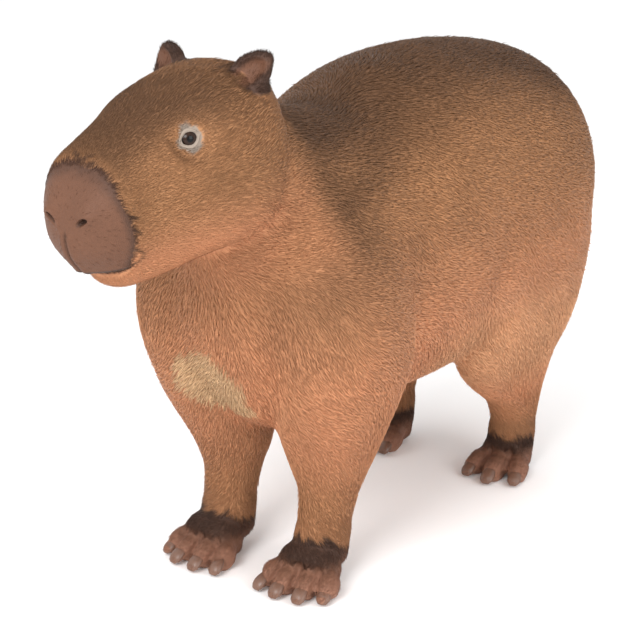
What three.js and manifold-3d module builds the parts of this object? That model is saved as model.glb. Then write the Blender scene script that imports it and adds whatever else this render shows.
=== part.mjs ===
// A life-size standing capybara, as a museum model: head raised, all four feet on the floor.
// Millimetres. +Z is up, the head looks along -Y, and +X is the animal's left side.
// Every body form is a soft tube: rings laid along a row of stations, rounded off at both ends.
import * as THREE from "three";
import { mergeVertices } from "three/addons/utils/BufferGeometryUtils.js";
import Module from "manifold-3d";

const wasm = await Module();
wasm.setup();

// Driving sizes of the animal
const BACK_HEIGHT = 600; // floor to the highest point of the back
const BELLY_HEIGHT = 205; // floor to the belly
const TRUNK_WIDTH = 350;
const POLL_Y = -278; // the poll lies between the ears, and the head is placed by it
const POLL_Z = 560;
const HEAD_PITCH = 12; // degrees that the face points down
const HEAD_TURN = -2.5; // degrees that the face turns to its own left
const HEAD_LENGTH = 244; // poll to the front of the muzzle
const MUZZLE_WIDTH = 112;
const CHEEK_WIDTH = 174;
const EYE_RADIUS = 12;
const EYE_SPREAD = 54; // each eye's centre from the middle plane
const EAR_HEIGHT = 37;
const FRONT_STANCE = 68; // each front foot's centre from the middle plane
const HIND_STANCE = 98;
const FRONT_FOOT_Y = -214;
const HIND_FOOT_Y = 230;
const WRIST_Z = 62; // where the front foot and leg part
const ANKLE_Z = 66; // where the hind foot and leg part
const GAP = 0.3; // between two parts that touch
const FAR = 3000; // size of the parting blocks, larger than the animal

const TRUNK_MID_Z = (BACK_HEIGHT + BELLY_HEIGHT) / 2;
const TRUNK_HALF = (BACK_HEIGHT - BELLY_HEIGHT) / 2;

// Solids from meshes, and meshes from solids
function solidOf(geometry) {
  const bare = geometry.clone();
  bare.deleteAttribute("normal");
  bare.deleteAttribute("uv");
  const merged = mergeVertices(bare, 1e-4);
  return new wasm.Manifold(
    new wasm.Mesh({
      numProp: 3,
      vertProperties: new Float32Array(merged.attributes.position.array),
      triVerts: new Uint32Array(merged.index.array),
    }),
  );
}

function geometryOf(solid) {
  const mesh = solid.getMesh();
  const points = new Float32Array(mesh.numVert * 3);
  for (let i = 0; i < mesh.numVert; i++) {
    points.set(mesh.vertProperties.subarray(i * mesh.numProp, i * mesh.numProp + 3), i * 3);
  }
  const geometry = new THREE.BufferGeometry();
  geometry.setAttribute("position", new THREE.BufferAttribute(points, 3));
  geometry.setIndex(new THREE.BufferAttribute(new Uint32Array(mesh.triVerts), 1));
  geometry.computeVertexNormals();
  return geometry;
}

function join(...solids) {
  return solids.reduce((whole, piece) => whole.add(piece));
}

function largest(solid) {
  return solid.decompose().reduce((best, piece) => (piece.volume() > best.volume() ? piece : best));
}

// A block that fills one side of the plane through a point, on the side that the normal points to
function halfSpace(point, normal) {
  const block = new THREE.BoxGeometry(FAR, FAR, FAR);
  block.translate(0, 0, FAR / 2);
  const turn = new THREE.Quaternion().setFromUnitVectors(
    new THREE.Vector3(0, 0, 1),
    new THREE.Vector3(...normal).normalize(),
  );
  block.applyQuaternion(turn);
  block.translate(...point);
  return solidOf(block);
}

// Parts a solid at a plane, with the gap between the two sides. The first lies where the normal points.
function part(solid, point, normal) {
  const unit = new THREE.Vector3(...normal).normalize();
  const half = unit.clone().multiplyScalar(GAP / 2);
  const at = new THREE.Vector3(...point);
  const ahead = halfSpace(at.clone().add(half).toArray(), unit.toArray());
  const behind = halfSpace(at.clone().sub(half).toArray(), unit.clone().negate().toArray());
  return [solid.intersect(ahead), solid.intersect(behind)];
}

// A curve through one size or place of each station
function curveOf(stations, read) {
  const points = stations.map((station) => new THREE.Vector3(...read(station)));
  return new THREE.CatmullRomCurve3(points, false, "catmullrom", 0.5);
}

// Rows of a soft tube: where each lies, from 0 to 1, and how much of the full ring it has
function rowsOf(length, rows, startCap, endCap, capRows) {
  const list = [];
  for (let k = 0; k <= capRows; k++) {
    const turn = ((k / capRows) * Math.PI) / 2;
    list.push({ at: (startCap * (1 - Math.cos(turn))) / length, share: Math.sin(turn) });
  }
  for (let k = 1; k < rows; k++) {
    const run = length - startCap - endCap;
    list.push({ at: (startCap + (run * k) / rows) / length, share: 1 });
  }
  for (let k = capRows; k >= 0; k--) {
    const turn = ((k / capRows) * Math.PI) / 2;
    list.push({ at: 1 - (endCap * (1 - Math.cos(turn))) / length, share: Math.sin(turn) });
  }
  return list;
}

// A soft tube along stations { at, side, up, down, square, below }. Each ring stands across the line of
// the stations: side is its half-width along the cross direction, up and down are its reach to either
// side of the line, and square bends the ring from an ellipse (2) towards a rectangle, with below in its
// place under the line. grow adds to every reach. Swells push the surface out round their centres. Level rings all lie flat, as on a standing leg.
function form(stations, options) {
  const { sides, rows, startCap, endCap, capRows = 4, grow = 0, swells = [] } = options;
  const across = new THREE.Vector3(...(options.across ?? [1, 0, 0]));
  const line = curveOf(stations, (s) => s.at);
  const sizes = curveOf(stations, (s) => [s.side, s.up, s.down ?? s.up]);
  const squares = curveOf(stations, (s) => [s.square ?? 2, s.below ?? s.square ?? 2, 0]);
  line.arcLengthDivisions = 400;
  const length = line.getLength();
  const layout = rowsOf(length, rows, startCap, endCap, capRows);
  const points = [];
  layout.forEach(({ at, share }) => {
    const t = line.getUtoTmapping(at);
    const centre = line.getPoint(t);
    const ahead = options.level ? new THREE.Vector3(0, 0, -1) : line.getTangent(t);
    const upward = new THREE.Vector3().crossVectors(ahead, across).normalize();
    const beside = new THREE.Vector3().crossVectors(upward, ahead).normalize();
    const reach = sizes.getPoint(t);
    const square = squares.getPoint(t);
    const stretch = (at < 0.5 ? -grow : grow) * Math.sqrt(1 - share * share);
    for (let k = 0; k < sides; k++) {
      const angle = (k / sides) * 2 * Math.PI;
      const c = Math.cos(angle);
      const s = Math.sin(angle);
      const bend = 2 / (s > 0 ? square.x : square.y);
      const x = Math.sign(c) * Math.abs(c) ** bend * (reach.x + grow) * share;
      const y = Math.sign(s) * Math.abs(s) ** bend * ((s > 0 ? reach.y : reach.z) + grow) * share;
      const point = centre.clone().addScaledVector(ahead, stretch);
      point.addScaledVector(beside, x).addScaledVector(upward, y);
      swells.forEach((swell) => {
        const from = Math.hypot(...swell.at.map((value, i) => point.getComponent(i) - value));
        const out = point.clone().sub(centre).normalize();
        point.addScaledVector(out, swell.by * share * Math.exp(-((from / swell.over) ** 2)));
      });
      points.push(point);
    }
  });
  return closedGrid(points, sides, layout.length);
}

// The closed surface over rings of points, whose first and last rings have shrunk to one point
function closedGrid(points, sides, rings) {
  const position = [];
  const corner = (ring, k) => points[ring * sides + (k % sides)];
  const triangle = (...corners) => corners.forEach((p) => position.push(p.x, p.y, p.z));
  for (let ring = 0; ring + 1 < rings; ring++) {
    for (let k = 0; k < sides; k++) {
      const a = corner(ring, k);
      const c = corner(ring + 1, k + 1);
      if (ring > 0) triangle(a, corner(ring, k + 1), c);
      if (ring + 2 < rings) triangle(a, c, corner(ring + 1, k));
    }
  }
  const geometry = new THREE.BufferGeometry();
  geometry.setAttribute("position", new THREE.Float32BufferAttribute(position, 3));
  return geometry;
}

const tube = (stations, options) => solidOf(form(stations, options));

function ball(radius, at, detail = 20) {
  const geometry = new THREE.SphereGeometry(radius, detail, Math.round(detail * 0.7));
  geometry.translate(...at);
  return solidOf(geometry);
}

function placed(solid, matrix) {
  return solidOf(geometryOf(solid).applyMatrix4(matrix));
}

// The matrix that stands a piece at a point, turned about its own x, y and z axes in degrees
function stand(at, turnX = 0, turnY = 0, turnZ = 0) {
  const turn = new THREE.Euler(...[turnX, turnY, turnZ].map(THREE.MathUtils.degToRad), "ZYX");
  return new THREE.Matrix4().makeRotationFromEuler(turn).setPosition(...at);
}

// Trunk, from the rump to the breast, with a neck that rises out of it into the skull
function trunk() {
  const wide = TRUNK_WIDTH / 2;
  const tall = TRUNK_HALF;
  const z = TRUNK_MID_Z;
  const barrel = [
    { at: [0, 405, z - 24], side: 0.89 * wide, up: 0.8 * tall, down: 0.84 * tall },
    { at: [0, 272, z - 4], side: 1.06 * wide, up: 0.965 * tall, down: 1.07 * tall, square: 2.15 },
    { at: [0, 140, z], side: 1.03 * wide, up: tall, down: 1.15 * tall, square: 2.2 },
    { at: [0, 10, z - 2], side: 0.98 * wide, up: 0.95 * tall, down: 1.16 * tall, square: 2.2 },
    { at: [0, -100, z - 4], side: 0.9 * wide, up: 0.775 * tall, down: 1.13 * tall },
    { at: [0, -200, z - 10], side: 0.8 * wide, up: 0.65 * tall, down: 1.1 * tall },
    { at: [0, -308, z - 14], side: 0.66 * wide, up: 0.58 * tall, down: 0.86 * tall },
  ];
  const neck = [
    { at: [0, -60, z + 6], side: 0.74 * wide, up: 0.675 * tall, down: 0.8 * tall },
    { at: [0, -165, z + 42], side: 0.66 * wide, up: 0.595 * tall, down: 0.76 * tall },
    { at: [0, -255, z + 86], side: 0.52 * wide, up: 0.46 * tall, down: 0.62 * tall },
    { at: [0, -316, z + 112], side: 0.42 * wide, up: 0.36 * tall, down: 0.5 * tall },
  ];
  return join(
    tube(barrel, { sides: 32, rows: 14, startCap: 130, endCap: 80, capRows: 5 }),
    tube(neck, { sides: 24, rows: 6, startCap: 40, endCap: 50, capRows: 2 }),
  );
}

// One level ring of a leg: out is its centre's place beside the foot, half its half-width, and front and
// back its edges ahead of and behind the foot
const legRing = (side, stance, footY) => (height, out, half, front, back) => ({
  at: [side * (stance + out), footY + (front + back) / 2, height],
  side: half,
  up: (back - front) / 2,
});

// One front leg without its foot. side is 1 for the animal's left and -1 for its right.
function frontLeg(side) {
  const ring = legRing(side, FRONT_STANCE, FRONT_FOOT_Y);
  const stations = [
    ring(480, -4, 44, -30, 104),
    ring(400, 25, 61, -75, 118),
    ring(310, 35, 70, -76, 124),
    ring(240, 24, 69, -60, 115),
    ring(200, 14, 66, -44, 100),
    ring(170, 8, 60, -26, 88),
    ring(140, 4, 50, -12, 81),
    ring(112, 4, 37, -4, 74),
    ring(70, 3, 32, -12, 61),
    ring(16, 2, 33, -24, 50),
  ];
  return tube(stations, { level: true, sides: 18, rows: 14, startCap: 70, endCap: 12, capRows: 3 });
}

function hindLeg(side) {
  const ring = legRing(side, HIND_STANCE, HIND_FOOT_Y);
  const stations = [
    ring(500, -33, 54, -41, 127),
    ring(410, -5, 72, -98, 155),
    ring(325, 9, 69, -129, 156),
    ring(245, 10, 63, -144, 129),
    ring(205, 8, 57, -145, 104),
    ring(172, 5, 50, -133, 76),
    ring(148, 4, 45, -106, 66),
    ring(125, 2, 39, -72, 59),
    ring(100, 1, 34, -36, 51),
    ring(72, 1, 32, -26, 41),
    ring(16, 0, 33, -30, 31),
  ];
  return tube(stations, { level: true, sides: 18, rows: 16, startCap: 80, endCap: 12, capRows: 3 });
}

// Palm, toes and blunt nails of one foot. Its own origin is on the floor, under the wrist or ankle.
function footForms(toes, side, palmWidth, palmReach) {
  const palm = [
    { at: [0, 26, 25], side: 1.04 * palmWidth, up: 30, down: 30, square: 2.4 },
    { at: [0, -6, 23], side: 1.08 * palmWidth, up: 31, down: 27, square: 2.5 },
    { at: [0, -palmReach - 4, 13], side: 1.14 * palmWidth, up: 17, down: 15, square: 2.4 },
  ];
  const pieces = toes.flatMap(({ spread, splay, reach, thick }) => {
    const x = side * spread;
    const tip = x + side * reach * Math.tan(THREE.MathUtils.degToRad(splay));
    const toe = [
      { at: [0.75 * x, -0.2 * reach, 20], side: thick, up: thick, down: thick },
      { at: [(x + tip) / 2, -0.62 * reach, 16], side: 1.04 * thick, up: 1.05 * thick, down: 1.36 * thick },
      { at: [tip, -reach, 8], side: 0.84 * thick, up: 0.8 * thick, down: 0.95 * thick },
    ];
    const nail = [
      { at: [tip, -reach + 10, 14], side: 0.68 * thick, up: 6, down: 6 },
      { at: [tip, -reach - 4, 10], side: 0.72 * thick, up: 6, down: 7 },
      { at: [tip, -reach - 12, 4], side: 0.5 * thick, up: 4, down: 4 },
    ];
    return [
      tube(toe, { sides: 8, rows: 2, startCap: 8, endCap: 9, capRows: 2 }),
      tube(nail, { sides: 6, rows: 2, startCap: 3, endCap: 4, capRows: 2 }),
    ];
  });
  return join(tube(palm, { sides: 14, rows: 3, startCap: 18, endCap: 12, capRows: 2 }), ...pieces);
}

// Toes from the inner side of the foot outwards: four in front and three behind
const FRONT_TOES = [
  { spread: -34, splay: -11, reach: 43, thick: 13.5 },
  { spread: -12, splay: -4, reach: 51, thick: 14.5 },
  { spread: 12, splay: 3, reach: 50, thick: 14.5 },
  { spread: 34, splay: 9, reach: 37, thick: 13.5 },
];
const HIND_TOES = [
  { spread: -25, splay: -9, reach: 56, thick: 14.5 },
  { spread: 0, splay: 0, reach: 68, thick: 15.5 },
  { spread: 25, splay: 9, reach: 56, thick: 14.5 },
];

// Places on the head, in its own frame: the poll is the origin and the face looks along -Y
const FRONT = -HEAD_LENGTH;
const EYE_AT = [EYE_SPREAD, -116, 25];
const EAR_AT = [52, -11, 44];
const onSide = (side, [x, y, z]) => [side * x, y, z];

// Skull, cheeks, muzzle and lower jaw. grow moves the whole surface out, or in where it is negative.
function headForms(grow = 0) {
  const muzzle = MUZZLE_WIDTH / 2;
  const cheek = CHEEK_WIDTH / 2;
  const skull = [
    { at: [0, 46, -40], side: 0.78 * cheek, up: 80, down: 66 },
    { at: [0, -6, -32], side: 0.94 * cheek, up: 98, down: 82, square: 2.6 },
    { at: [0, -60, -34], side: cheek, up: 102, down: 84, square: 2.7 },
    { at: [0, -116, -38], side: 0.88 * cheek, up: 95, down: 76, square: 2.8 },
    { at: [0, -170, -38], side: 1.09 * muzzle, up: 87, down: 64, square: 2.8, below: 2.4 },
    { at: [0, FRONT + 26, -38], side: 1.01 * muzzle, up: 71, down: 50, square: 2.9, below: 2.1 },
    { at: [0, FRONT - 5, -31], side: 0.87 * muzzle, up: 52, down: 36, square: 2.7, below: 1.9 },
  ];
  // Brows, cheek muscles, nostril wings and the hollows beside the upper lip
  const swells = [-1, 1].flatMap((side) => [
    { at: [side * 62, -106, 30], by: 4, over: 26 },
    { at: [side * 84, -54, -62], by: 6, over: 44 },
    { at: [side * 36, FRONT + 4, -6], by: 8, over: 27 },
    { at: [side * 36, FRONT + 6, -62], by: -6, over: 26 },
  ]);
  const jaw = [
    { at: [0, 10, -84], side: 0.66 * cheek, up: 40, down: 34 },
    { at: [0, -90, -94], side: 0.58 * cheek, up: 34, down: 28 },
    { at: [0, -170, -91], side: 0.76 * muzzle, up: 26, down: 25 },
    { at: [0, FRONT + 26, -88], side: 0.58 * muzzle, up: 18, down: 20 },
  ];
  return join(
    tube(skull, { sides: 32, rows: 14, startCap: 50, endCap: 33, capRows: 4, grow, swells }),
    tube(jaw, { sides: 20, rows: 7, startCap: 40, endCap: 22, capRows: 3, grow }),
  );
}

// A flat outline pushed from one distance to another along x. The outline's own axes become y and z.
function slabAlongX(shape, from, to) {
  const depth = to - from;
  const geometry = new THREE.ExtrudeGeometry(shape, { depth, bevelEnabled: false, curveSegments: 8 });
  geometry.translate(0, 0, from);
  const [x, y, z] = [[0, 1, 0], [0, 0, 1], [1, 0, 0]].map((axis) => new THREE.Vector3(...axis));
  geometry.applyMatrix4(new THREE.Matrix4().makeBasis(x, y, z));
  return solidOf(geometry);
}

// The line of the mouth and the cleft above it: thin sheets that reach only a little under the surface
function faceGrooves() {
  const width = 1.6;
  const line = new THREE.SplineCurve([
    new THREE.Vector2(FRONT - 30, -80),
    new THREE.Vector2(FRONT, -81),
    new THREE.Vector2(FRONT + 24, -82),
    new THREE.Vector2(FRONT + 38, -79),
    new THREE.Vector2(FRONT + 45, -70),
  ]).getPoints(8);
  const upper = line.map((p) => new THREE.Vector2(p.x, p.y + width));
  const lower = line.map((p) => new THREE.Vector2(p.x, p.y - width)).reverse();
  const mouth = slabAlongX(new THREE.Shape([...upper, ...lower]), -90, 90);
  const cleft = new THREE.BoxGeometry(2 * width, 60, 48);
  cleft.translate(0, FRONT - 10, -54);
  return join(mouth.subtract(headForms(-7)), solidOf(cleft).subtract(headForms(-5)));
}

// One nostril: a comma that runs back and down from the front corner of the muzzle
function nostril(side) {
  const stations = [
    { at: [side * 13, FRONT - 6, -23], side: 3, up: 6 },
    { at: [side * 20, FRONT - 3, -18], side: 4.5, up: 7 },
    { at: [side * 27, FRONT, -13], side: 4, up: 7 },
    { at: [side * 34, FRONT + 5, -12], side: 2.5, up: 5 },
  ];
  return tube(stations, { sides: 10, rows: 6, startCap: 3, endCap: 3, capRows: 2, across: [0, 0, 1] });
}

// The almond opening between the lids, which looks out, a little forward and a little up
function lidWindow(side) {
  const long = EYE_RADIUS * 0.98;
  const shape = new THREE.Shape();
  shape.moveTo(-long, -1);
  shape.quadraticCurveTo(-long * 0.2, long * 1.35, long, 0);
  shape.quadraticCurveTo(-long * 0.1, -long * 1.15, -long, -1);
  const window = side > 0 ? slabAlongX(shape, 0, 40) : slabAlongX(shape, -40, 0);
  return placed(window, stand(onSide(side, EYE_AT), 0, side * -12, side * -28));
}

// One ear: its root is its origin, it stands along z, and its cup opens along -y. The tip leans out and back.
function earForms(side) {
  const h = EAR_HEIGHT;
  const shell = [
    { at: [0, 0, -14], side: 23, up: 18 },
    { at: [side * 1, 0, 0.28 * h], side: 23, up: 15 },
    { at: [side * 7, 6, 0.66 * h], side: 17, up: 10 },
    { at: [side * 16, 13, h], side: 7, up: 5 },
  ];
  const cup = [
    { at: [0, -16, 0.1 * h], side: 12, up: 8 },
    { at: [side * 1, -14, 0.36 * h], side: 17.5, up: 10 },
    { at: [side * 7, -4, 0.66 * h], side: 12.5, up: 8 },
    { at: [side * 13, 3, 0.9 * h], side: 5.5, up: 4.5 },
  ];
  return tube(shell, { sides: 18, rows: 8, startCap: 6, endCap: 14, capRows: 4 })
    .subtract(tube(cup, { sides: 14, rows: 6, startCap: 6, endCap: 10, capRows: 3 }));
}

// The ear that stands above its seam, and the root that stays with the head
function partedEar(side) {
  const place = stand(onSide(side, EAR_AT), -6, side * 17, side * 4);
  const up = new THREE.Vector3(0, 0, 1).transformDirection(place);
  const seam = new THREE.Vector3(...onSide(side, EAR_AT)).addScaledVector(up, 18);
  return part(placed(earForms(side), place), seam.toArray(), up.toArray());
}

const coat = new THREE.MeshStandardMaterial({ color: 0xa9744f, roughness: 0.85, metalness: 0 });
const dark = new THREE.MeshStandardMaterial({ color: 0x5c453a, roughness: 0.7, metalness: 0 });
const wet = new THREE.MeshStandardMaterial({ color: 0x1c120d, roughness: 0.12, metalness: 0 });

const animal = new THREE.Group();
const head = new THREE.Group();
const headPlace = stand([0, POLL_Y, POLL_Z], HEAD_PITCH, 0, HEAD_TURN);
head.applyMatrix4(headPlace);
animal.add(head);

function addNode(name, solid, material, parent = animal) {
  const mesh = new THREE.Mesh(geometryOf(solid), material);
  mesh.name = name;
  parent.add(mesh);
}

// Where the head parts from the neck, behind the ears and the angle of the jaw
const NECK_SEAM = [0, 30, 0];
const NECK_NORMAL = [0, -0.9, 0.43];

// Head, ears and eyes, in the frame of the head
let face = join(headForms(), placed(trunk(), headPlace.clone().invert()));
[1, -1].forEach((side) => {
  const name = side > 0 ? "left" : "right";
  const socket = onSide(side, EYE_AT);
  const [ear, earRoot] = partedEar(side);
  face = face
    .add(earRoot)
    .add(ball(EYE_RADIUS + 3, socket, 18))
    .subtract(lidWindow(side))
    .subtract(ball(EYE_RADIUS + GAP, socket, 16))
    .subtract(nostril(side));
  addNode("ear_" + name, ear, dark, head);
  addNode("eye_" + name, ball(EYE_RADIUS, socket, 16), wet, head);
});
const [facePart] = part(face.subtract(faceGrooves()), NECK_SEAM, NECK_NORMAL);
addNode("head", largest(facePart.intersect(ball(230, [0, -110, -50], 16))), coat, head);

// A standing capsule round a limb, where the limb parts from the trunk
function limbBlock({ side, centreX, centreY, wide, long, top }, grow) {
  const stations = [
    { at: [side * centreX, centreY, top], side: wide, up: long },
    { at: [side * centreX, centreY, -60], side: wide, up: long },
  ];
  return tube(stations, { sides: 20, rows: 1, startCap: 110, endCap: 10, capRows: 4, grow });
}

const frontLimb = (side) => ({
  name: "front",
  side,
  leg: frontLeg(side),
  foot: footForms(FRONT_TOES, side, 35, 18),
  footAt: [side * (FRONT_STANCE + 4), FRONT_FOOT_Y - 4, 0],
  seam: WRIST_Z,
  centreX: FRONT_STANCE + 42,
  centreY: FRONT_FOOT_Y + 23,
  wide: 98,
  long: 116,
  top: 400,
});
const hindLimb = (side) => ({
  name: "hind",
  side,
  leg: hindLeg(side),
  foot: footForms(HIND_TOES, side, 31, 20),
  footAt: [side * HIND_STANCE, HIND_FOOT_Y, 0],
  seam: ANKLE_Z,
  centreX: HIND_STANCE + 26,
  centreY: HIND_FOOT_Y - 2,
  wide: 112,
  long: 152,
  top: 470,
});

// The whole body, flat where it stands on the floor, then parted limb by limb
const limbs = [1, -1].flatMap((side) => [frontLimb(side), hindLimb(side)]);
let body = join(trunk(), placed(headForms(), headPlace));
limbs.forEach((limb) => {
  body = body.add(limb.leg).add(placed(limb.foot, stand(limb.footAt, 0, 0, limb.side * 5)));
});
body = body.intersect(halfSpace([0, 0, 0], [0, 0, 1]));
limbs.forEach((limb) => {
  const side = limb.side > 0 ? "left" : "right";
  const [leg, foot] = part(body.intersect(limbBlock(limb, 0)), [0, 0, limb.seam], [0, 0, 1]);
  addNode(limb.name + "_leg_" + side, largest(leg), coat);
  addNode(limb.name + "_foot_" + side, largest(foot), dark);
  body = body.subtract(limbBlock(limb, GAP));
});
const neckSeam = new THREE.Vector3(...NECK_SEAM).applyMatrix4(headPlace);
const neckNormal = new THREE.Vector3(...NECK_NORMAL).transformDirection(headPlace);
const [, behindHead] = part(body, neckSeam.toArray(), neckNormal.toArray());
const [neck, torso] = part(behindHead, [0, -205, 480], [0, -0.86, 0.5]);
addNode("torso", largest(torso), coat);
addNode("neck", largest(neck), coat);

// The origin is on the floor, under the middle of the animal's box
const model = new THREE.Group();
model.add(animal);
const box = new THREE.Box3().setFromObject(animal, true);
animal.position.set(-(box.min.x + box.max.x) / 2, -(box.min.y + box.max.y) / 2, -box.min.z);

export default model;
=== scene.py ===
"""A standing capybara, built life size as a museum model: one skin over all its flesh, a short coat, wet eyes
and blunt nails. Metres, with +Z up, the head towards -Y and the animal's left side towards +X."""

import math

import bmesh
import bpy
import numpy as np
from mathutils import Euler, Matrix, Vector
from mathutils.kdtree import KDTree


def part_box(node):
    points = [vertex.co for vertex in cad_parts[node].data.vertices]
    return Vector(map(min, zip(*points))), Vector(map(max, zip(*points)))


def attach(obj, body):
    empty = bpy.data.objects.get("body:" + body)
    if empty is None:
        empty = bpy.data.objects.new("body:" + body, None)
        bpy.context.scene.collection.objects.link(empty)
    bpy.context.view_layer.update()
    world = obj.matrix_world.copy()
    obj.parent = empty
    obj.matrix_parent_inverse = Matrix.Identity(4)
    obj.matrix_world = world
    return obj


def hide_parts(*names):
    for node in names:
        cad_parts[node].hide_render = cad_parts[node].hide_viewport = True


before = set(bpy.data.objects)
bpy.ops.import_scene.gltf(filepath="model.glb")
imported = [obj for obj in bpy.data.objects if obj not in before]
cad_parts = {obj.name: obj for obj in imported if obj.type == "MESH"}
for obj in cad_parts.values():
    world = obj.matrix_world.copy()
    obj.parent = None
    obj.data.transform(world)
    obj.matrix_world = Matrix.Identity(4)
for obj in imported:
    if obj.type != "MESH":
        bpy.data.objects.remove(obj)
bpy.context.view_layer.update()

# Camera, fitted to the photograph
PHOTO_PIXELS = 640
CAMERA_AZIMUTH = 34.78
CAMERA_ELEVATION = 17.42
CAMERA_DISTANCE = 1.8438
CAMERA_TARGET = (-0.0073, -0.0311, 0.2800)
FOCAL_PIXELS = 1492

# Frame of the head: its origin is the poll, and the face looks along its own -Y
HEAD_PITCH = math.radians(12)
HEAD_TURN = math.radians(-2.5)
EYE_IN_HEAD = (0.054, -0.116, 0.025)
EAR_IN_HEAD = (0.064, -0.004, 0.062)
EYE_RADIUS = 0.012
LID_HALF_WIDTH = 0.86
LID_TOP = 0.62
LID_BOTTOM = 0.52
FACE_FRONT = -0.248
MOUTH_CORNER = -0.200
NOSTRIL_IN_HEAD = (0.0215, -0.0180)
NOSTRIL_SIZE = (0.0070, 0.0034)

# Frame of the ear: its root in the frame of the head, and its turns about x, y and z
EAR_ROOT = (0.052, -0.011, 0.044)
EAR_TURNS = [math.radians(turn) for turn in (-6, 17, 4)]

# Each foot's place, beside the middle and behind the poll, and its toes from the inner side outwards:
# place across the foot, splay in degrees, reach and thickness
FOOT_TURN = math.radians(5)
FRONT_FOOT = (0.072, 0.060)
HIND_FOOT = (0.098, 0.508)
FRONT_TOES = [
    (-0.034, -11, 0.043, 0.0135),
    (-0.012, -4, 0.051, 0.0145),
    (0.012, 3, 0.050, 0.0145),
    (0.034, 9, 0.037, 0.0135),
]
HIND_TOES = [
    (-0.025, -9, 0.056, 0.0145),
    (0.0, 0, 0.068, 0.0155),
    (0.025, 9, 0.056, 0.0145),
]

# Skin
FLESH = [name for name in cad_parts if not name.startswith("eye")]
FINE = 0.0022
SKIN_SHARE = 0.55
EASING_ROUNDS = 110
FLESH_SWELL = 0.0004
SIDES = (1, -1)

# Coat
SEED = 11
COAT_LAYERS = 1.55
LONG_HAIR = 0.0135
PIECE_TRIANGLES = 190000
LONG_TRIANGLES = 6
SHORT_TRIANGLES = 4
UV_PATCH = 0.003

# Eyeballs and nails
CORNEA_RISE = 0.0009
EYE_RINGS = 40
EYE_SPOKES = 56
NAIL_SPOKES = 20

# Stage
FLOOR_HALF = 14
WORLD_STRENGTH = 1.04

rng = np.random.default_rng(SEED)


# Numbers on arrays
def smoothstep(low, high, value):
    t = np.clip((value - low) / (high - low), 0, 1)
    return t * t * (3 - 2 * t)


def bump(distance, width):
    return np.exp(-((distance / width) ** 2))


def mixed(a, b, share):
    return a + (b - a) * share


def unit(vectors):
    return vectors / np.maximum(np.linalg.norm(vectors, axis=-1, keepdims=True), 1e-12)


def length_of(vectors):
    return np.linalg.norm(vectors, axis=-1)


def middle(node):
    low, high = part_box(node)
    return np.array((low + high) / 2)


def wavy(points, size, seed, waves=7):
    """A smooth random field over space, roughly from -1 to 1, with swells about size across."""
    own = np.random.default_rng(seed)
    total = np.zeros(len(points))
    for _ in range(waves):
        across = unit(own.normal(size=3)) * own.uniform(0.6, 1.5) * 2 * math.pi / size
        total += np.sin(points @ across + own.uniform(0, 2 * math.pi))
    return total / math.sqrt(waves)


HEAD_AXES = np.array(Euler((HEAD_PITCH, 0, HEAD_TURN)).to_matrix())
EAR_AXES = np.array(Euler(EAR_TURNS).to_matrix())


def turned_to_world(v):
    return np.asarray(v, float) @ HEAD_AXES.T


def turned_to_head(v):
    return np.asarray(v, float) @ HEAD_AXES


POLL = middle("eye_left") - turned_to_world(EYE_IN_HEAD)


def in_head(points):
    return turned_to_head(points - POLL)


def from_head(points):
    return POLL + turned_to_world(points)


def on_side(side, place):
    return np.array([side * place[0], place[1], place[2]])


def folded(places):
    """Places with the right side laid onto the left."""
    return np.concatenate([np.abs(places[:, :1]), places[:, 1:]], 1)


def in_ear(head):
    """Places of the head in the frame of the left ear, with the right side folded onto it."""
    return (folded(head) - EAR_ROOT) @ EAR_AXES


def on_feet(points):
    """Each low place in the frame of its own foot: outwards, behind the foot's middle, and which pair."""
    inner = np.abs(points[:, 0])
    hind = points[:, 1] > 0
    across = inner - np.where(hind, HIND_FOOT[0], FRONT_FOOT[0])
    behind = points[:, 1] - POLL[1] - np.where(hind, HIND_FOOT[1], FRONT_FOOT[1])
    c, s = math.cos(FOOT_TURN), math.sin(FOOT_TURN)
    return across * c + behind * s, behind * c - across * s, hind


# Meshes to and from arrays
def new_object(name, mesh):
    obj = bpy.data.objects.new(name, mesh)
    bpy.context.scene.collection.objects.link(obj)
    return obj


def mesh_of(name, points, faces):
    """A mesh from an array of points and an array of faces that all have as many sides."""
    mesh = bpy.data.meshes.new(name)
    sides = faces.shape[1]
    mesh.vertices.add(len(points))
    mesh.vertices.foreach_set("co", np.ascontiguousarray(points, np.float32).ravel())
    mesh.loops.add(faces.size)
    mesh.loops.foreach_set("vertex_index", np.ascontiguousarray(faces, np.int32).ravel())
    mesh.polygons.add(len(faces))
    mesh.polygons.foreach_set("loop_start", np.arange(0, faces.size, sides, dtype=np.int32))
    mesh.update(calc_edges=True)
    mesh.polygons.foreach_set("use_smooth", np.ones(len(faces), bool))
    return mesh


def points_of(mesh):
    flat = np.empty(len(mesh.vertices) * 3, np.float32)
    mesh.vertices.foreach_get("co", flat)
    return flat.reshape(-1, 3).astype(float)


def set_points(mesh, points):
    mesh.vertices.foreach_set("co", points.astype(np.float32).ravel())
    mesh.update()


def normals_of(mesh):
    flat = np.empty(len(mesh.vertices) * 3, np.float32)
    mesh.vertex_normals.foreach_get("vector", flat)
    return flat.reshape(-1, 3).astype(float)


def edges_of(mesh):
    flat = np.empty(len(mesh.edges) * 2, np.int32)
    mesh.edges.foreach_get("vertices", flat)
    return flat.reshape(-1, 2)


def triangles_of(mesh):
    mesh.calc_loop_triangles()
    flat = np.empty(len(mesh.loop_triangles) * 3, np.int32)
    mesh.loop_triangles.foreach_get("vertices", flat)
    return flat.reshape(-1, 3)


def set_marks(mesh, name, values):
    """Four numbers for each point of the mesh, which the materials read."""
    attribute = mesh.attributes.new(name, "FLOAT_COLOR", "POINT")
    attribute.data.foreach_set("color", np.ascontiguousarray(values, np.float32).ravel())


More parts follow.
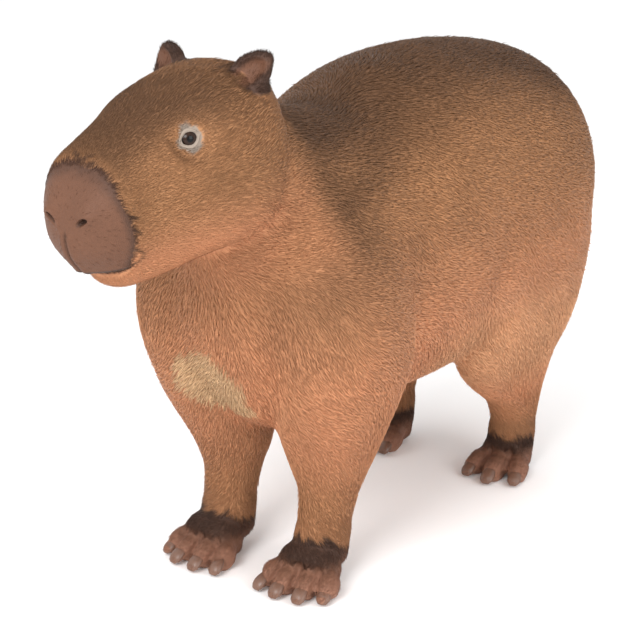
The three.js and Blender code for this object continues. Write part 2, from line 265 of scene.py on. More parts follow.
def with_modifiers(obj):
    """The object's mesh with its modifiers applied, as a new mesh."""
    return bpy.data.meshes.new_from_object(obj.evaluated_get(bpy.context.evaluated_depsgraph_get()))


def remeshed(mesh, voxel):
    obj = new_object("remesh", mesh)
    modifier = obj.modifiers.new("voxels", "REMESH")
    modifier.mode = "VOXEL"
    modifier.voxel_size = voxel
    made = with_modifiers(obj)
    bpy.data.objects.remove(obj)
    return made


def eased(points, edges, reach, rounds):
    """Points moved towards the middle of their neighbours. reach is from 0 to 1 for each point and round."""
    a, b = edges[:, 0], edges[:, 1]
    count = len(points)
    degree = np.maximum(np.bincount(a, minlength=count) + np.bincount(b, minlength=count), 1)
    for _ in range(rounds):
        total = [
            np.bincount(a, points[b, k], count) + np.bincount(b, points[a, k], count)
            for k in range(3)
        ]
        points = points + (np.stack(total, -1) / degree[:, None] - points) * reach[:, None]
    return points


# Skin: all the flesh as one closed surface, its facets eased away
def joined_flesh():
    shape = bmesh.new()
    for name in FLESH:
        shape.from_mesh(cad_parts[name].data)
    bmesh.ops.remove_doubles(shape, verts=shape.verts, dist=2e-6)
    shape.normal_update()
    for vertex in shape.verts:
        vertex.co += vertex.normal * FLESH_SWELL
    # Eye sockets and nostrils are filled here and shaped again on the fine skin
    for side in SIDES:
        fill(shape, on_side(side, EYE_IN_HEAD), EYE_RADIUS + 0.003)
        fill(shape, on_side(side, (0.024, FACE_FRONT + 0.017, -0.016)), 0.014)
    mesh = bpy.data.meshes.new("flesh")
    shape.to_mesh(mesh)
    shape.free()
    return mesh


def fill(shape, place_in_head, radius):
    made = bmesh.ops.create_icosphere(shape, subdivisions=3, radius=radius)
    bmesh.ops.translate(shape, verts=made["verts"], vec=Vector(from_head(place_in_head)))


def near_ear(head):
    return np.minimum(*[length_of(head - on_side(side, EAR_IN_HEAD)) for side in SIDES])


def near_eye(head):
    return np.minimum(*[length_of(head - on_side(side, EYE_IN_HEAD)) for side in SIDES])


def head_share(head):
    return smoothstep(0.050, 0.0, head[:, 1]) * smoothstep(-0.20, -0.13, head[:, 2])


def softness(points):
    """How far each place is eased: most on the trunk, and least on the ears and the toes."""
    head = in_head(points)
    z = points[:, 2]
    reach = mixed(0.013, 0.008, smoothstep(0.30, 0.20, z))
    reach = mixed(reach, 0.020, smoothstep(0.27, 0.33, z) * smoothstep(0.02, -0.08, points[:, 1]))
    reach = mixed(reach, 0.0075, head_share(head))
    reach = mixed(reach, 0.0026, smoothstep(0.044, 0.030, near_ear(head)))
    reach = mixed(reach, 0.0034, smoothstep(0.085, 0.055, z))
    return mixed(reach, 0.0024, smoothstep(0.040, 0.028, z))


def coat_depth(points):
    """How deep the skin lies under the outline of the solids, which is out to the tips of the coat."""
    head = in_head(points)
    z = points[:, 2]
    depth = mixed(0.0034, 0.0020, smoothstep(0.26, 0.16, z))
    depth = mixed(depth, 0.0014, head_share(head))
    depth = mixed(depth, 0.0002, smoothstep(-0.185, -0.215, head[:, 1]))
    depth = mixed(depth, 0.0003, smoothstep(0.044, 0.030, near_ear(head)))
    return mixed(depth, 0.0002, smoothstep(0.080, 0.055, z))


# Muscles and folds: centre, reach and height of each soft swelling, on both sides of the body
SWELLINGS = [
    ((0.118, -0.130, 0.440), (0.050, 0.045, 0.090), 0.0050),
    ((0.128, -0.165, 0.330), (0.050, 0.040, 0.045), 0.0045),
    ((0.128, -0.085, 0.270), (0.040, 0.035, 0.040), 0.0040),
    ((0.160, 0.215, 0.420), (0.060, 0.085, 0.090), 0.0040),
    ((0.150, 0.175, 0.255), (0.050, 0.040, 0.045), 0.0050),
    ((0.130, 0.325, 0.270), (0.050, 0.045, 0.070), 0.0035),
    ((0.125, -0.045, 0.400), (0.050, 0.024, 0.110), -0.0028),
    ((0.150, 0.115, 0.330), (0.050, 0.026, 0.090), -0.0045),
    ((0.075, -0.175, 0.395), (0.060, 0.040, 0.026), -0.0030),
    ((0.0, 0.150, 0.580), (0.140, 0.170, 0.080), 0.0012),
]
HEAD_SWELLINGS = [
    ((0.050, -0.120, 0.051), (0.026, 0.034, 0.014), 0.0016),
    ((0.076, -0.110, -0.012), (0.030, 0.046, 0.013), 0.0030),
    ((0.085, -0.048, -0.070), (0.030, 0.044, 0.044), 0.0050),
    ((0.060, -0.165, -0.010), (0.030, 0.040, 0.026), -0.0030),
    ((0.062, -0.150, -0.072), (0.030, 0.030, 0.030), -0.0020),
    ((0.030, -0.238, -0.050), (0.022, 0.026, 0.022), 0.0012),
    ((0.026, -0.244, -0.004), (0.020, 0.022, 0.016), 0.0030),
    ((0.0, -0.246, -0.045), (0.016, 0.030, 0.040), 0.0012),
    ((0.052, 0.004, 0.030), (0.030, 0.030, 0.020), 0.0020),
]


def swollen(points, normals, places, list_of):
    rise = np.zeros(len(points))
    for centre, reach, height in list_of:
        for side in SIDES:
            away = (places - on_side(side, centre)) / np.array(reach)
            rise += height * np.exp(-(away**2).sum(1))
    return points + normals * rise[:, None]


def toe_grooves(points):
    """How deep the skin sinks between the toes."""
    across, behind, hind = on_feet(points)
    sink = np.zeros(len(points))
    for toes, pair in ((FRONT_TOES, ~hind), (HIND_TOES, hind)):
        for inner, outer in zip(toes, toes[1:]):
            splay = math.tan(math.radians((inner[1] + outer[1]) / 2))
            line = (inner[0] + outer[0]) / 2 - behind * splay
            groove = bump(across - line, 0.0030) * smoothstep(-0.012, -0.026, behind)
            sink = np.maximum(sink, groove * pair)
    return 0.0042 * sink * smoothstep(0.046, 0.032, points[:, 2])


def base_skin():
    mesh = remeshed(joined_flesh(), FINE)
    points = points_of(mesh)
    edges = edges_of(mesh)
    step = softness(points) ** 2 * 2 / (EASING_ROUNDS * FINE**2)
    points = eased(points, edges, np.clip(step, 0, 0.9), EASING_ROUNDS)
    set_points(mesh, points)
    points = points - normals_of(mesh) * coat_depth(points)[:, None]
    set_points(mesh, points)
    points = swollen(points, normals_of(mesh), points, SWELLINGS)
    points = swollen(points, normals_of(mesh), in_head(points), HEAD_SWELLINGS)
    set_points(mesh, points)
    points = points - normals_of(mesh) * toe_grooves(points)[:, None]
    set_points(mesh, points)
    return mesh


# Face
def refined(mesh):
    """The face, eyes and ears get points twice as close."""
    head = in_head(points_of(mesh))
    chosen = (head[:, 1] < -0.175) & (head[:, 2] > -0.14)
    chosen |= near_eye(head) < 0.034
    chosen |= near_ear(head) < 0.036
    shape = bmesh.new()
    shape.from_mesh(mesh)
    edges = [e for e in shape.edges if chosen[e.verts[0].index] and chosen[e.verts[1].index]]
    bmesh.ops.subdivide_edges(shape, edges=edges, cuts=1, use_grid_fill=True)
    shape.to_mesh(mesh)
    shape.free()
    points = points_of(mesh)
    head = in_head(points)
    fine = smoothstep(-0.17, -0.18, head[:, 1]) * smoothstep(-0.15, -0.13, head[:, 2])
    fine = np.maximum(fine, smoothstep(0.036, 0.030, near_eye(head)))
    set_points(mesh, eased(points, edges_of(mesh), 0.6 * fine, 6))
    return mesh


def eye_axes(side):
    """Gaze, and the directions along and across the lids, in the frame of the head."""
    gaze = unit(on_side(side, (0.86, -0.46, 0.20)))
    along = np.array([0, -1.0, -0.10])
    along = unit(along - gaze * (along @ gaze))
    across = np.cross(gaze, along) * side
    across = across if across[2] > 0 else -across
    return gaze, along, across


def in_eye(head, side):
    """Places of the head in the frame of one eye: along its lids, across them, and ahead of it."""
    gaze, along, across = eye_axes(side)
    out = head - on_side(side, EYE_IN_HEAD)
    return out @ along, out @ across, out @ gaze


def lids(head):
    """The skin laid round each eyeball, with the almond opening between two thick lids."""
    for side in SIDES:
        gaze, along, across = eye_axes(side)
        out = head - on_side(side, EYE_IN_HEAD)
        far = length_of(out)
        direction = out / np.maximum(far, 1e-9)[:, None]
        ahead = direction @ gaze
        x = np.arctan2(direction @ along, ahead)
        y = np.arctan2(direction @ across, ahead)
        arch = np.clip(1 - (x / LID_HALF_WIDTH) ** 2, 0, 1)
        top = LID_TOP * arch**0.62
        bottom = -LID_BOTTOM * arch**0.7
        inside = np.minimum(top - y, y - bottom)
        beyond = np.maximum(np.abs(x) - LID_HALF_WIDTH, 0)
        inside = np.where(beyond > 0, -np.hypot(beyond, y), inside)
        rim = smoothstep(0.02, -0.10, inside)
        lid = mixed(0.0122, 0.0140, np.sqrt(rim))
        crease = np.where(y > 0, -inside - 0.34, -inside - 0.30)
        lid = lid - 0.0010 * bump(crease, 0.07) + 0.0008 * bump(-inside - 0.16, 0.10)
        radius = np.where(inside > 0.02, 0.0104, lid)
        angle = np.arccos(np.clip(ahead, -1, 1))
        hold = smoothstep(1.25, 0.80, angle) * (far < 0.030)
        head = head + direction * ((radius - far) * hold)[:, None]
    return head


def mouth_height(y):
    """Height of the line of the mouth at each distance along the muzzle."""
    return -0.081 + 0.012 * smoothstep(-0.214, -0.200, y)


def front_and_cleft(head):
    """1 on the front of the muzzle, and 1 along the cleft from between the nostrils to the mouth."""
    _, y, z = head.T
    front = smoothstep(-0.215, -0.228, y)
    return front, front * smoothstep(-0.084, -0.076, z) * smoothstep(-0.026, -0.036, z)


def nostril(x, z):
    """Height over the curved line of the nostril, and its shape: 1 on the rim, and less inside it."""
    u = x - NOSTRIL_IN_HEAD[0]
    bend = z - NOSTRIL_IN_HEAD[1] - 0.45 * u + 18 * u**2
    return bend, np.hypot(u / NOSTRIL_SIZE[0], bend / NOSTRIL_SIZE[1])


def face_lines(head, normals):
    """The grooves of the mouth and the cleft, and the nostrils with their raised wings."""
    x, y, z = head.T
    on_lips = smoothstep(MOUTH_CORNER, MOUTH_CORNER - 0.006, y)
    away = z - mouth_height(y)
    sink = 0.0032 * bump(away, 0.0013) * on_lips
    sink += 0.0022 * bump(away + 0.0065, 0.0060) * on_lips
    sink -= 0.0016 * bump(away - 0.0050, 0.0045) * on_lips
    front, cleft = front_and_cleft(head)
    sink += 0.0026 * bump(x, 0.0014) * cleft
    sink -= 0.0012 * bump(np.abs(x) - 0.0055, 0.0035) * cleft
    head = head - normals * sink[:, None]
    for side in SIDES:
        bend, shape = nostril(side * x, z)
        hole = smoothstep(1.05, 0.55, shape) * front
        wing = bump(shape - 1.55, 0.45) * front * (0.5 + 0.5 * smoothstep(-0.006, 0.006, bend))
        head = head + np.stack([side * 0.0018 * hole, 0.0070 * hole - 0.0013 * wing, 0.0010 * hole], -1)
    return head


def detailed_skin():
    mesh = refined(base_skin())
    head = lids(in_head(points_of(mesh)))
    set_points(mesh, from_head(head))
    normals = turned_to_head(normals_of(mesh))
    head = face_lines(head, normals)
    set_points(mesh, from_head(head))
    return mesh


def thinned(mesh):
    """The same skin with fewer faces where it is smooth. The face, eyes, ears and feet keep theirs."""
    points = points_of(mesh)
    head = in_head(points)
    keep = smoothstep(-0.165, -0.180, head[:, 1])
    keep = np.maximum(keep, smoothstep(0.040, 0.034, near_eye(head)))
    keep = np.maximum(keep, smoothstep(0.044, 0.036, near_ear(head)))
    keep = np.maximum(keep, smoothstep(0.075, 0.060, points[:, 2]))
    obj = new_object("thinned", mesh)
    group = obj.vertex_groups.new(name="smooth")
    loose = np.flatnonzero(keep < 0.5)
    group.add(loose.tolist(), 1.0, "REPLACE")
    modifier = obj.modifiers.new("fewer", "DECIMATE")
    modifier.ratio = SKIN_SHARE
    modifier.vertex_group = group.name
    made = with_modifiers(obj)
    bpy.data.objects.remove(obj)
    return made


# Markings, with painted light and shade, the same for the skin and the coat
def pad_edge(head):
    """How far along the muzzle the bare nose pad ends, at each height."""
    return -0.2145 - 0.0050 * bump(head[:, 2] + 0.002, 0.022)


def ragged(points, seed):
    """A jagged edge for a marking, as locks of hair make it."""
    return 0.6 * wavy(points, 0.016, seed) + 0.4 * wavy(points, 0.007, seed + 1)


# Dark wisps of hair that stand out from the nose pad and under the ears: start and end of each
WISPS = [
    ((-0.004, -0.214, 0.029), (0.020, -0.205, 0.038)),
    ((0.012, -0.214, 0.028), (0.034, -0.202, 0.029)),
    ((0.055, -0.219, -0.017), (0.060, -0.198, -0.029)),
    ((0.056, -0.218, -0.027), (0.059, -0.199, -0.050)),
    ((0.054, -0.214, -0.056), (0.053, -0.201, -0.065)),
    ((0.067, -0.024, 0.045), (0.075, -0.014, 0.026)),
    ((0.071, -0.016, 0.042), (0.080, -0.002, 0.027)),
    ((0.048, -0.027, 0.056), (0.058, -0.033, 0.043)),
]


def wisps(head):
    """1 along the middle of each dark wisp, which narrows towards its end."""
    places = folded(head)
    most = np.zeros(len(head))
    for start, end in np.array(WISPS):
        run = end - start
        along = np.clip((places - start) @ run / (run @ run), 0, 1)
        away = length_of(places - start - along[:, None] * run)
        most = np.maximum(most, smoothstep(1.1, 0.7, away / (0.0029 - 0.0015 * along)))
    return most


def ear_marks(head, rough):
    """The dark ear, and in it the paler cup."""
    x, y, z = in_ear(head).T
    foot = mixed(0.0105, -0.0020, smoothstep(-0.012, 0.020, x))
    ear = smoothstep(0.0, 0.004, z - foot + 0.002 * rough)
    ear = ear * smoothstep(0.036, 0.030, np.abs(x)) * smoothstep(0.036, 0.030, np.abs(y - 0.003))
    lean = 0.013 * smoothstep(0.010, 0.037, z)
    inner = 1 - np.hypot((x - lean) / 0.0145, (z - 0.018) / 0.0165)
    cup = smoothstep(-0.10, 0.35, inner + 0.10 * rough) * smoothstep(0.009, 0.004, y)
    return ear, ear * cup


def face_line_marks(head):
    """The dark lines of the mouth, the cleft and the nostrils: painted shade in these grooves and holes, over
    dark skin.
    """
    x, y, z = head.T
    on_lips = smoothstep(MOUTH_CORNER + 0.004, MOUTH_CORNER - 0.004, y)
    away = z - mouth_height(y)
    line = smoothstep(-0.0032, -0.0015, away) * smoothstep(0.0064, 0.0040, away) * on_lips
    front, cleft = front_and_cleft(head)
    line = np.maximum(line, 0.8 * bump(x, 0.0016) * cleft)
    for side in SIDES:
        _, shape = nostril(side * x, z)
        line = np.maximum(line, smoothstep(1.15, 0.75, shape) * front)
    return line


def eye_ring(head):
    """The pale rim round each eye, a painted highlight on the lids, with corners to the front and the back.
    """
    ring = np.zeros(len(head))
    for side in SIDES:
        along, across, ahead = in_eye(head, side)
        flat = np.abs(along) * 0.80 + np.abs(across) * 0.62
        flat = np.maximum(flat, 0.80 * np.hypot(along, across)) + 0.0011 * wavy(head, 0.009, 31)
        ring = np.maximum(ring, smoothstep(0.0140, 0.0112, flat) * (ahead > 0))
    return ring


def pad_marks(head, rough):
    """The dark nose pad, and its bare middle inside a darker rim."""
    behind_edge = head[:, 1] - pad_edge(head)
    pad = smoothstep(0.0042, 0.0014, behind_edge + 0.0014 * rough)
    pad = pad * smoothstep(-0.0015, 0.0010, head[:, 2] - mouth_height(head[:, 1]))
    return pad, pad * mixed(0.25, 1, smoothstep(0.0015, -0.0075, behind_edge + 0.0010 * rough))


def foot_marks(points, rough):
    """The dark foot, darkest on the front of the instep as painted shade, its barer toes, and their pale
    tips.
    """
    z = points[:, 2]
    _, behind, hind = on_feet(points)
    slope = mixed(np.where(hind, 0.055, 0.060), 0.045, smoothstep(-0.004, 0.030, behind))
    foot = smoothstep(0.004, -0.002, z - slope - 0.006 * np.maximum(rough, -0.6))
    # The heel is half bare, so the front of the instep stays darkest: painted shade
    heel = 0.50 * smoothstep(0.0, 0.028, behind)
    toes = mixed(heel, 1, smoothstep(0.046, 0.026, z + 0.003 * rough))
    tips = mixed(0.20 * heel, 1, smoothstep(0.038, 0.014, z + 0.003 * rough))
    tips = tips * mixed(1, 0.45, smoothstep(-0.015, 0.020, behind))
    return foot, toes * foot, tips * foot


def breast_patch(points, rough):
    """The pale patch low on the breast, beside the middle, with a small one under it."""
    x, y, z = points.T
    patch = np.hypot((x + 0.035) / 0.049, (z - 0.250) / 0.039) + 0.14 * rough
    patch = np.minimum(patch, np.hypot((x + 0.006) / 0.020, (z - 0.222) / 0.014) + 0.14 * rough)
    return smoothstep(1.05, 0.92, patch) * smoothstep(-0.12, -0.14, y) * smoothstep(0.33, 0.30, z)


def warm_and_lit_share(points, normals, head):
    """How warm and light the colour is: most on the belly, the thighs and under the jaw. It is the
    underside's own warmer colour, with painted light from below on downward-facing surfaces.
    """
    _, y, z = points.T
    # Warmer and lighter where the skin faces down: painted light from below
    below = smoothstep(0.25, -0.75, normals[:, 2])
    warm = smoothstep(0.50, 0.27, z) * mixed(0.42, 1, smoothstep(0.10, 0.20, z)) * mixed(0.50, 1, below)
    thigh = smoothstep(0.32, 0.22, z) * smoothstep(0.07, 0.17, z) * smoothstep(0.02, 0.14, y)
    warm = np.clip(warm + 0.5 * thigh, 0, 1)
    jaw = 0.82 * smoothstep(-0.02, -0.09, head[:, 2]) * mixed(0.5, 1, below)
    return mixed(warm, jaw, head_share(head))


def brown_and_shade_share(points, normals, head):
    """How much dark brown each place takes: most on the back, nape and crown, less on shoulders, haunches and
    ankles. The nape and back are the coat's own brown; the darkening of upward-facing surfaces and the crown,
    of the rump and haunches, and just above the feet is painted shade.
    """
    _, y, z = points.T
    up = normals[:, 2]
    # Darker on upward-facing surfaces: painted shade over the brown of the back
    top = smoothstep(0.40, 1.0, up) * smoothstep(0.30, 0.46, z)
    nape = bump(length_of((points - [0, -0.195, 0.52]) / [1.5, 0.75, 1.2]), 0.115) * smoothstep(0.35, 0.44, z)
    beside = folded(points)
    shoulder = 0.46 * bump(length_of(beside - [0.115, -0.215, 0.440]), 0.075)
    shoulder += 0.20 * bump(length_of(beside - [0.130, -0.205, 0.370]), 0.090)
    # Painted shade on the rump and the top of the haunches, which face away from the light
    rump = smoothstep(0.25, 0.95, normals[:, 1]) * smoothstep(0.36, 0.46, z)
    haunch = smoothstep(0.13, 0.36, y) * smoothstep(0.34, 0.55, z)
    shade = 0.95 * top + 0.74 * nape + shoulder + 0.14 * rump + 0.42 * haunch
    shade = shade + 0.12 * smoothstep(0.30, 0.22, z) * smoothstep(0.0, -0.08, y)
    # Painted shade in a band just above the feet, more on the hind legs
    shade = shade + np.where(y > 0, 0.36, 0.16) * smoothstep(0.098, 0.068, z)
    # Painted shade on the upward-facing crown of the head
    crown = smoothstep(0.10, 0.95, up) * smoothstep(-0.03, 0.02, head[:, 2])
    crown = crown * mixed(0.58, 0.82, smoothstep(-0.04, -0.12, head[:, 1]))
    return mixed(np.clip(shade, 0, 1), mixed(0.12, 1, crown), head_share(head))


def marks_of(points, normals):
    """For each place: dark skin with painted shade in the face's grooves, pale hair with the painted
    highlight round the eyes, warm colour with painted light from below, and brown back with painted shade. In
    the dark, the second and third say how pale the toes and how bare the skin is."""
    head = in_head(points)
    _, y, z = points.T
    rough = ragged(points, 5)
    pad, bare_pad = pad_marks(head, rough)
    ear, cup = ear_marks(head, rough)
    foot, toes, tips = foot_marks(points, rough)
    line = face_line_marks(head)
    chest = breast_patch(points, rough)
    # Paler low on the flank by the groin: the underside's colour with painted light from below
    groin = smoothstep(0.34, 0.24, z) * smoothstep(0.12, 0.20, z) * smoothstep(-0.02, 0.10, y)
    dark = np.maximum(np.maximum(pad, ear), foot)
    dark = np.maximum(np.maximum(dark, line), 0.85 * wisps(head))
    bare = np.maximum(np.maximum(bare_pad, cup), toes) * (1 - line)
    pale = np.maximum(np.maximum(chest, eye_ring(head)), 0.38 * groin)
    pale = np.where(dark > 0.5, tips, pale)
    warm = np.maximum(warm_and_lit_share(points, normals, head), chest)
    warm = np.where(dark > 0.5, bare, warm)
    return np.stack([dark, pale, warm, brown_and_shade_share(points, normals, head)], -1)


def ear_share(head):
    """1 on the ears, above the skull."""
    x, y, z = in_ear(head).T
    beside = smoothstep(0.036, 0.030, np.abs(x)) * smoothstep(0.036, 0.030, np.abs(y))
    return smoothstep(0.010, 0.018, z) * beside


# Lie of the coat
def lie_of(points, normals):
    """The way the hair points at each place, along the skin."""
    head = in_head(points)
    x, _, z = points.T
    facing = normals[:, 1]
    outward = 0.7 * np.sign(x) * smoothstep(0, 0.04, np.abs(x)) * smoothstep(0, -0.5, facing)
    lie = np.stack([outward, np.ones(len(x)), -0.16 - 0.30 * np.abs(normals[:, 0])], -1)
    down = np.stack([outward, np.full(len(x), 0.22), np.full(len(x), -1.0)], -1)
    breast_and_rump = np.maximum(smoothstep(-0.15, -0.70, facing), smoothstep(0.25, 0.60, facing))
    lie = mixed(lie, down, np.maximum(smoothstep(0.34, 0.20, z), breast_and_rump)[:, None])
    nose = np.array([0, FACE_FRONT, -0.020])
    fan = unit(head - nose)
    fan[:, 1] += 0.9
    fan[:, 2] -= 0.10
    lie = mixed(lie, unit(turned_to_world(fan)), head_share(head)[:, None])
    upright = turned_to_world(np.array([0, 0.35, 1.0]))
    lie = mixed(lie, upright, ear_share(head)[:, None])
    toes = np.array([0, -1.0, -0.15])
    on_toes = smoothstep(0.060, 0.035, z) * smoothstep(0.02, -0.01, on_feet(points)[1])
    lie = mixed(lie, toes, on_toes[:, None])
    lie = unit(lie - normals * (lie * normals).sum(1)[:, None])
    turn = 0.20 * wavy(points, 0.12, 21) + 0.05 * wavy(points, 0.03, 22)
    return unit(lie + np.cross(normals, lie) * turn[:, None])


def hair_size(points):
    """Length and width of the tufts at each place."""
    head = in_head(points)
    z = points[:, 2]
    length = mixed(0.019, 0.013, smoothstep(0.30, 0.16, z))
    length = mixed(length, 0.0075, smoothstep(0.10, 0.06, z))
    on_head = head_share(head)
    face = mixed(0.013, 0.0055, smoothstep(-0.02, -0.19, head[:, 1]))
    length = mixed(length, face, on_head)
    length = mixed(length, 0.0042, smoothstep(0.034, 0.022, near_eye(head)))
    length = mixed(length, 0.0060, smoothstep(0.044, 0.034, near_ear(head)))
    length = mixed(length, 0.0050, smoothstep(0.050, 0.030, z))
    width = 0.0005 + 0.040 * length
    return length, width


def coat_cover(points):
    """How many layers of tufts lie over each place."""
    head = in_head(points)
    cover = np.full(len(points), COAT_LAYERS)
    on_pad = smoothstep(0.0010, -0.0015, head[:, 1] - pad_edge(head))
    cover *= 1 - 0.98 * on_pad * (head[:, 2] > mouth_height(head[:, 1]))
    opening = np.zeros(len(points))
    for side in SIDES:
        along, across, ahead = in_eye(head, side)
        flat = np.hypot(along / 1.25, across)
        opening = np.maximum(opening, smoothstep(0.0125, 0.0100, flat) * (ahead > 0))
    cover *= 1 - opening
    _, cup = ear_marks(head, 0)
    cover *= 1 - 0.35 * ear_share(head) - 0.60 * cup
    sole = smoothstep(0.012, 0.006, points[:, 2])
    return cover * (1 - sole) * mixed(1, 0.55, smoothstep(0.05, 0.03, points[:, 2]))


class Surface:
    """The skin as arrays, with the nearest point of it to any place."""

    def __init__(self, mesh):
        self.points = points_of(mesh)
        self.normals = normals_of(mesh)
        self.triangles = triangles_of(mesh)
        self.tree = KDTree(len(self.points))
        for i, point in enumerate(self.points):
            self.tree.insert(point, i)
        self.tree.balance()

    def roots(self):
        """Places spread over the skin, closer where the tufts are smaller."""
        a, b, c = (self.points[self.triangles[:, k]] for k in range(3))
        area = length_of(np.cross(b - a, c - a)) / 2
        centres = (a + b + c) / 3
        length, width = hair_size(centres)
        wanted = area * coat_cover(centres) / (0.5 * length * width)
        total = np.cumsum(wanted)
        count = int(total[-1])
        at = (np.arange(count) + rng.random(count)) * total[-1] / count
        chosen = np.minimum(np.searchsorted(total, at), len(wanted) - 1)
        u, v = rng.random((2, count))
        u, v = np.where(u + v > 1, 1 - u, u), np.where(u + v > 1, 1 - v, v)
        corners = self.triangles[chosen]
        shares = np.stack([1 - u - v, u, v], -1)[:, :, None]
        return (self.points[corners] * shares).sum(1), unit((self.normals[corners] * shares).sum(1))

    def laid(self, places, lift):
        """Places moved along the skin's normal until they are at that lift over it."""
        nearest = np.array([self.tree.find(place)[1] for place in places])
        normals = self.normals[nearest]
        height = ((places - self.points[nearest]) * normals).sum(1)
        return places + normals * (lift - height)[:, None], normals


def bent_tufts(surface, roots, normals, lies, length, width, lift):
    """Longer tufts, widest where they bend along the body. Six triangles each."""
    half = (width / 2)[:, None]
    bend, bend_normals = surface.laid(roots + lies * (0.42 * length)[:, None], 0.60 * lift + 0.0004)
    tip, _ = surface.laid(roots + lies * length[:, None], lift)
    side = unit(np.cross(bend_normals, lies))
    rows = [
        roots - normals * 0.0008,
        bend - side * half,
        bend + side * half,
        bend + bend_normals * half * 0.6,
        tip,
    ]
    return rows, [(0, 2, 1), (0, 1, 3), (0, 3, 2), (4, 1, 2), (4, 3, 1), (4, 2, 3)], [0, 0.45, 0.45, 0.45, 1]


def straight_tufts(roots, normals, lies, length, width, lift):
    """Short tufts of one stretch. Four triangles each."""
    side = np.cross(normals, lies)
    half = (width / 2)[:, None]
    base = roots - normals * 0.0005
    rows = [
        base - side * half,
        base + side * half,
        base + normals * half * 0.85,
        roots + lies * length[:, None] + normals * lift[:, None],
    ]
    return rows, [(0, 2, 1), (0, 3, 2), (2, 3, 1), (1, 3, 0)], [0, 0, 0, 1]


def region_of(points):
    """The part of the coat that each root belongs to."""
    head = in_head(points)
    x, _, z = points.T
    names = np.where(x > 0, "side_left", "side_right").astype("<U16")
    names[np.abs(x) < 0.075] = "back"
    names[(np.abs(x) < 0.10) & (z < 0.30)] = "belly"
    names[z < 0.22] = "legs"
    names[z < 0.075] = "feet"
    names[head_share(head) > 0.5] = "head"
    return names


def unwrapped(points, region):
    """Place of each root on an unwrap of the skin's own shape: round the body and along it."""
    if region in ("legs", "feet"):
        quarter = (points[:, 0] > 0) + 2.0 * (points[:, 1] > 0)
        out = points[:, :2] - np.array(FOOT_PLACES)[nearest_foot(points)]
        around = (np.arctan2(out[:, 1], out[:, 0]) / (2 * math.pi) + 0.5) * 0.24 + quarter * 0.25
        return np.stack([around, 0.02 + points[:, 2] / 0.24 * 0.96], -1)
    if region == "head":
        head = in_head(points) - [0, 0, -0.035]
        around = np.arctan2(head[:, 2], head[:, 0]) / (2 * math.pi) + 0.5
        return np.stack([0.02 + 0.96 * around, 0.04 + (head[:, 1] + 0.26) / 0.36 * 0.92], -1)
    around = np.arctan2(points[:, 2] - 0.40, points[:, 0]) / (2 * math.pi) + 0.5
    return np.stack([0.02 + 0.96 * around, 0.03 + (points[:, 1] + 0.30) / 0.80 * 0.94], -1)


FOOT_PLACES = [middle(name)[:2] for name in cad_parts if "foot" in name]


def nearest_foot(points):
    offsets = np.stack([points[:, :2] - place for place in FOOT_PLACES], 0)
    return np.argmin((offsets**2).sum(-1), 0)


def coat_piece(name, rows, faces, along, marks, picks, places):
    """One mesh of many tufts, with its markings and the map of its roots."""
    count = len(rows[0])
    size = len(rows)
    points = np.stack(rows, 1).reshape(-1, 3)
    steps = (np.arange(count) * size)[:, None, None]
    triangles = (np.array(faces)[None] + steps).reshape(-1, 3)
    mesh = mesh_of(name, points, triangles)
    set_marks(mesh, "marks", np.repeat(marks, size, 0))
    hair = np.zeros((count, size, 4))
    hair[:, :, 0] = np.array(along)[None]
    hair[:, :, 1:3] = picks[:, None]
    hair[:, :, 3] = 1
    set_marks(mesh, "hair", hair.reshape(-1, 4))
    corner = (np.stack([np.linspace(0, 1, size), np.array(along)], -1) - 0.5) * UV_PATCH
    spots = (places[:, None] + corner[None]).reshape(-1, 2)
    mesh.uv_layers.new(name="OFBake")
    mesh.uv_layers["OFBake"].data.foreach_set("uv", spots[triangles.ravel()].astype(np.float32).ravel())
    obj = new_object(name, mesh)
    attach(obj, "root")
    return obj


def grown_coat(surface):
    """All the tufts, in pieces that stay below the limit of one mesh."""
    roots, normals = surface.roots()
    marks = marks_of(roots, normals)
    lies = lie_of(roots, normals)
    count = len(roots)
    turn = rng.normal(0, 0.11, count)
    lies = unit(lies + np.cross(normals, lies) * turn[:, None])
    length, width = hair_size(roots)
    length = length * rng.uniform(0.70, 1.30, count)
    width = width * rng.uniform(0.75, 1.25, count)
    proud = rng.random(count) < 0.05
    lift = 0.0006 + length * rng.uniform(0.05, 0.11, count) + np.where(proud, 0.08 * length, 0)
    picks = rng.random((count, 2))
    regions = region_of(roots)
    made = []
    for region in np.unique(regions):
        for long in (True, False):
            chosen = np.flatnonzero((regions == region) & ((length > LONG_HAIR) == long))
            most = PIECE_TRIANGLES // (LONG_TRIANGLES if long else SHORT_TRIANGLES)
            for part in range(0, len(chosen), most):
                some = chosen[part : part + most]
                args = (roots[some], normals[some], lies[some], length[some], width[some], lift[some])
                shape = bent_tufts(surface, *args) if long else straight_tufts(*args)
                name = f"coat_{region}_{'long' if long else 'short'}_{part // most + 1}"
                places = unwrapped(roots[some], region)
                made.append(coat_piece(name, *shape, marks[some], picks[some], places))
    print("coat", count, "tufts", sum(len(o.data.polygons) for o in made), "triangles", len(made), "pieces")
    return made


